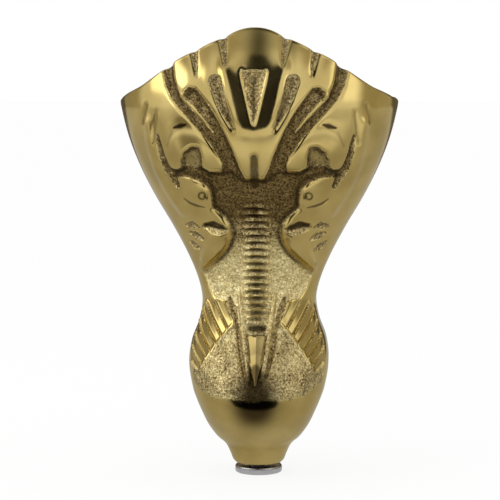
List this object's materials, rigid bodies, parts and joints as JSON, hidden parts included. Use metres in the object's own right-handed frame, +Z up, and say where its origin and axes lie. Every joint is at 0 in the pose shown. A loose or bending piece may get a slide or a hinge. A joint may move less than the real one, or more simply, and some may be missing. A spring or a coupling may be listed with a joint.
{
  "type": "claw and ball bath foot",
  "caption": "Cast brass claw and ball foot for a freestanding bath, carved with a shell crest and birds' heads, on a steel levelling screw with a round pad.",
  "frame": {"origin": "centre of the levelling pad's underside, on the floor under the screw's axis", "axes": "+Z up along the levelling screw, the carved front faces -Y, +X to the right seen from the front"},
  "size_m": [0.112, 0.0626, 0.1806],
  "materials": {
    "brass": "polished on the raised forms, as cast with a fine grain in the sunk grounds",
    "steel": "turned, zinc bright"
  },
  "bodies": {
    "casting": {"foot_casting": "brass"},
    "screw": {"levelling_screw": "steel"}
  },
  "joints": [
    {"name": "levelling_travel", "type": "slide", "parent": "casting", "child": "screw", "axis": [0, 0, -1], "range_m": [-0.0009, 0.012]}
  ]
}
